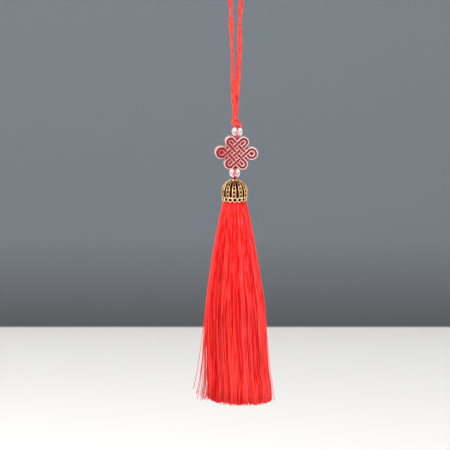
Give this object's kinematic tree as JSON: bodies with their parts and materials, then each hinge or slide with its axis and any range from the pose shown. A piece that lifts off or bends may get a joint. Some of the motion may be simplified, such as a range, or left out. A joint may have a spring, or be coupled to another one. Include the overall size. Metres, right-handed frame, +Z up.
{
  "type": "mystic knot hanging",
  "caption": "Red cord hanging with a clear endless-knot plaque between clear beads, an openwork gold cap and a long silky tassel.",
  "frame": {"origin": "the hang point, inside the top of the cord's loop", "axes": "+Z up along the hanging, +X to the right as the plaque's face is seen, +Y away from that face"},
  "size_m": [0.0356, 0.0244, 0.2017],
  "materials": {
    "red_cord": "satin twisted cord",
    "clear_bead": "clear polished",
    "clear_plaque": "clear moulded, dark red in its grooves",
    "antique_gold": "antique, dark in its recesses",
    "red_thread": "glossy silky thread"
  },
  "bodies": {
    "root": {"hanging_cord": "red_cord", "top_knot": "red_cord", "upper_bead": "clear_bead", "lower_bead": "clear_bead", "knot_plaque": "clear_plaque", "core_cord": "red_cord", "tassel_cap": "antique_gold", "tassel": "red_thread"}
  },
  "joints": []
}
